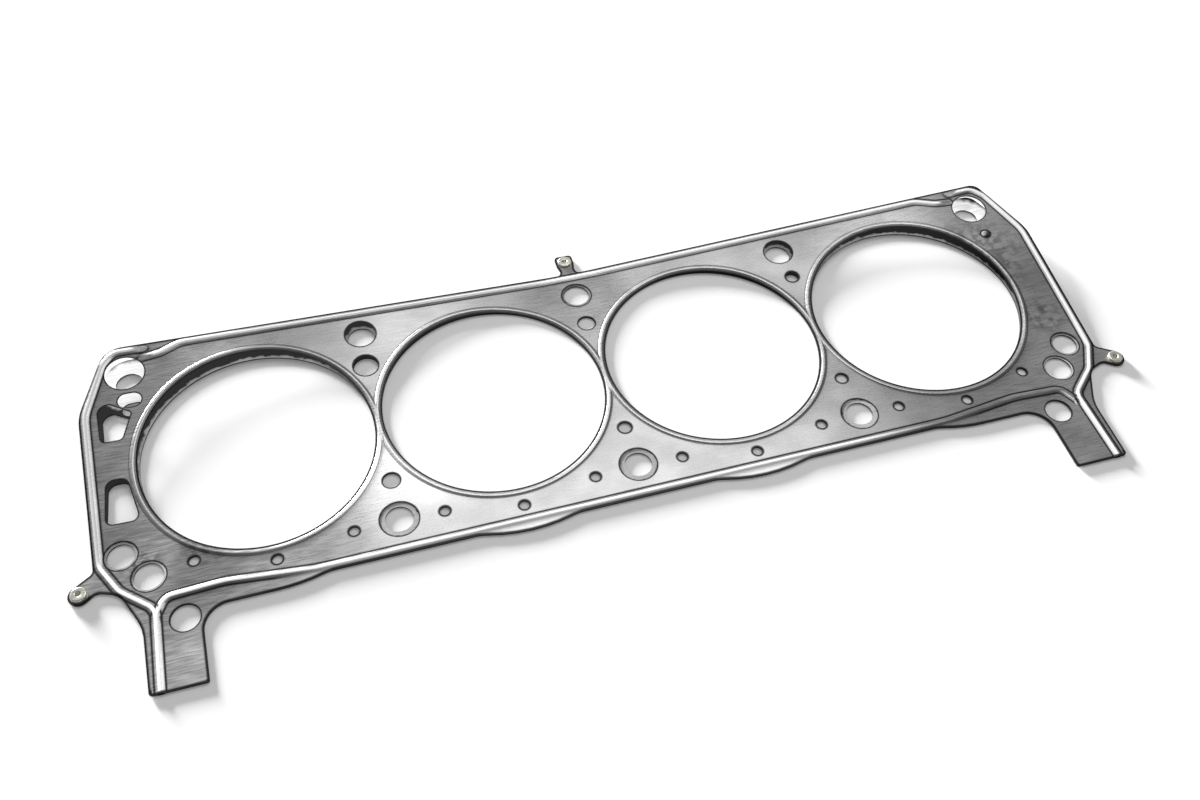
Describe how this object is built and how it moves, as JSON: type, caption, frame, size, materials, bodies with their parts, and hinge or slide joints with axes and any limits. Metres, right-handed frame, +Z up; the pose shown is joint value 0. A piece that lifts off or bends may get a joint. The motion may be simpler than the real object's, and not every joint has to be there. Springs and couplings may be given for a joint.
{
  "type": "cylinder head gasket",
  "caption": "Flat riveted steel head gasket with a row of large bores, bolt holes, coolant holes, two legs and raised sealing beads, its far corners sprung up.",
  "frame": {"origin": "middle of the head-bolt pattern, on the plane that the beads of the lower sheet rest on", "axes": "+X along the row of bores, +Y towards the long straight edge with one ear, +Z up, out of the upper sheet"},
  "size_m": [0.5069, 0.1915, 0.0124],
  "materials": {
    "upper_sheet": "fine lengthwise grain, half gloss",
    "core_sheet": "bright rolled",
    "lower_sheet": "fine lengthwise grain, half gloss",
    "rivets": "bright zinc plate with a faint yellow cast"
  },
  "bodies": {
    "root": {"upper_sheet": "upper_sheet", "core_sheet": "core_sheet", "lower_sheet": "lower_sheet", "left_rivet": "rivets", "top_rivet": "rivets", "right_rivet": "rivets"}
  },
  "joints": []
}
